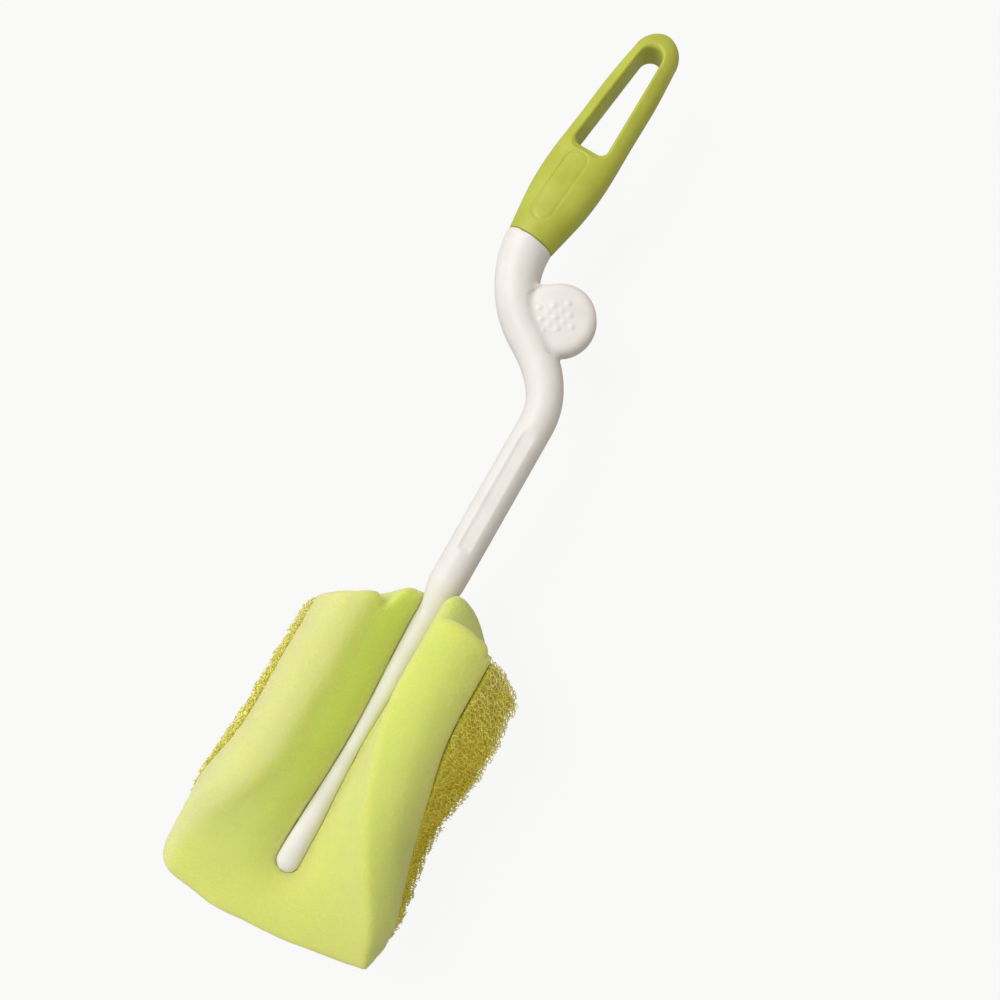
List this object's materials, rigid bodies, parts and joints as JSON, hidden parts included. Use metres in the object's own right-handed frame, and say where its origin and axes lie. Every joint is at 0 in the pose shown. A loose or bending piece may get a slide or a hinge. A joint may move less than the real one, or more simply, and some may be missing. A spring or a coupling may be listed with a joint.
{
  "type": "baby bottle sponge brush",
  "caption": "Bottle brush with a folded two-layer foam head on a cranked plastic stem, a round thumb disc and a swivelling grip with a hanging loop.",
  "frame": {"origin": "on the flat back of the scouring foam, straight below the centre of the front prong's round tip", "axes": "+Y along the shaft towards the grip, +Z from the scouring foam's back towards the thumb disc's face, +X completes them"},
  "size_m": [0.0768, 0.2998, 0.0519],
  "materials": {
    "stem": "satin moulded white polypropylene",
    "grip": "satin moulded lime polypropylene",
    "clamp_prong": "satin moulded white polypropylene",
    "soft_foam": "cut fine-celled soft polyurethane foam",
    "scouring_foam": "coarse open-celled scouring foam"
  },
  "bodies": {
    "brush": {"stem": "stem", "clamp_prong": "clamp_prong", "soft_foam": "soft_foam", "scouring_foam": "scouring_foam"},
    "grip": {"grip": "grip"}
  },
  "joints": [
    {"name": "grip_swivel", "type": "hinge", "parent": "brush", "child": "grip", "pos_m": [-0.0304, 0.199, 0.0287], "axis": [0.0785, 0.9969, 0], "continuous": true}
  ]
}
